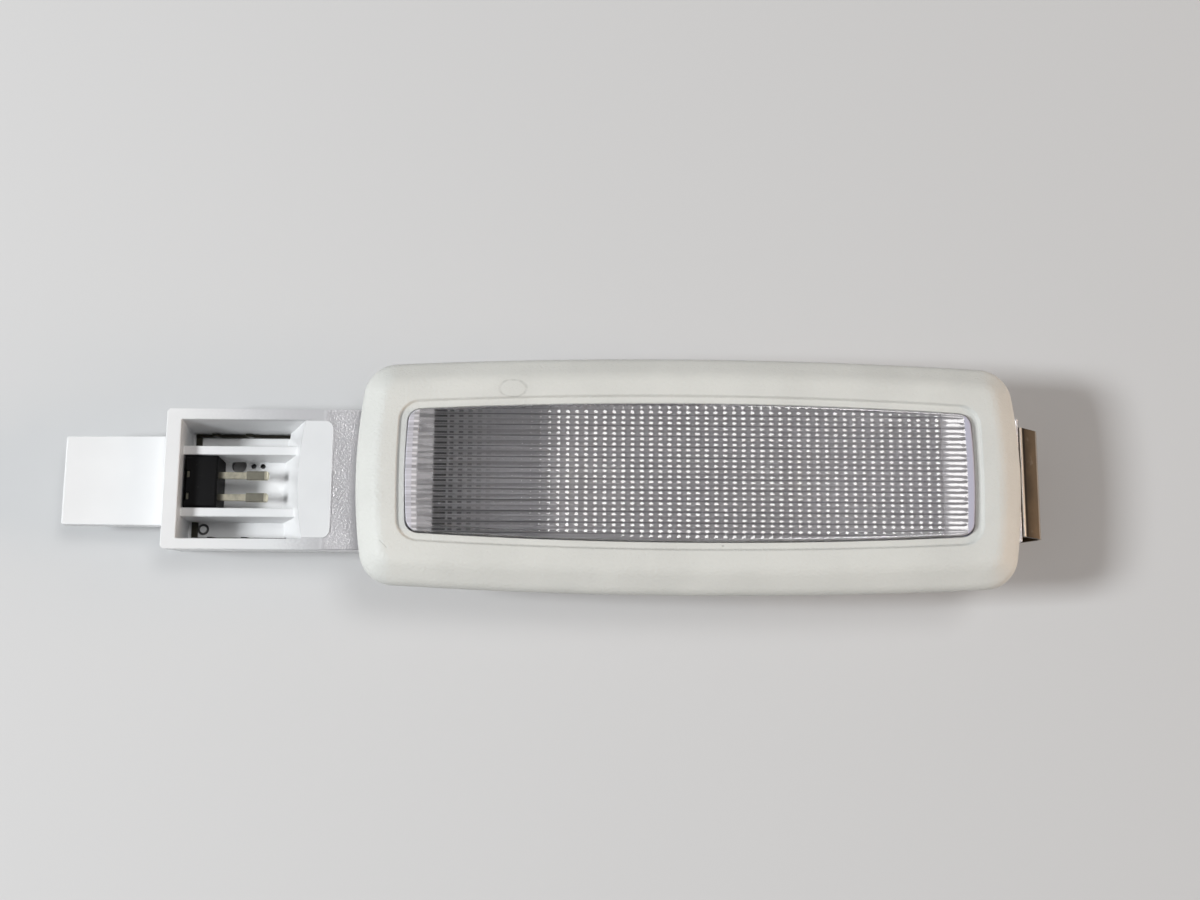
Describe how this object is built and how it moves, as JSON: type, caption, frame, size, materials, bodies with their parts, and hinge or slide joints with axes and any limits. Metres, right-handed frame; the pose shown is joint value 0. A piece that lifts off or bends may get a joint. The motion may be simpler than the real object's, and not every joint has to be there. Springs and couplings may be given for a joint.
{
  "type": "interior lamp",
  "caption": "Oblong roof-lining lamp lying on its back: pale bezel, clear fluted lens, white housing with an open connector socket and a flat tongue, and a spring clip at the other end.",
  "frame": {"origin": "middle of the bezel, on the plane where its skirt meets the roof lining", "axes": "+X along the lamp from the tongue towards the spring clip, +Y across it, +Z out of the lens into the cabin"},
  "size_m": [0.1569, 0.0376, 0.0198],
  "materials": {
    "bezel_plastic": "fine matt grain, pale warm grey",
    "lens_clear": "clear moulded plastic",
    "housing_white": "white moulded plastic, metallised in the reflector",
    "block_black": "black moulded plastic",
    "contact_metal": "stamped strip",
    "bulb_glass": "clear glass",
    "bulb_cap": "nickel plated",
    "filament_wire": "drawn wire",
    "spring_steel": "tempered strip with a brownish surface"
  },
  "bodies": {
    "lamp": {"bezel": "bezel_plastic", "lens": "lens_clear", "housing": "housing_white", "terminal_block": "block_black", "contact_far": "contact_metal", "contact_near": "contact_metal", "bulb_glass": "bulb_glass", "bulb_cap_left": "bulb_cap", "bulb_cap_right": "bulb_cap", "bulb_filament": "filament_wire"},
    "clip": {"spring_clip": "spring_steel"}
  },
  "joints": [
    {"name": "clip_flex", "type": "hinge", "parent": "lamp", "child": "clip", "pos_m": [0.0496, 0, -0.0133], "axis": [0, -1, 0], "range_deg": [0, 8], "stiffness_Nm_per_rad": 0.2}
  ]
}
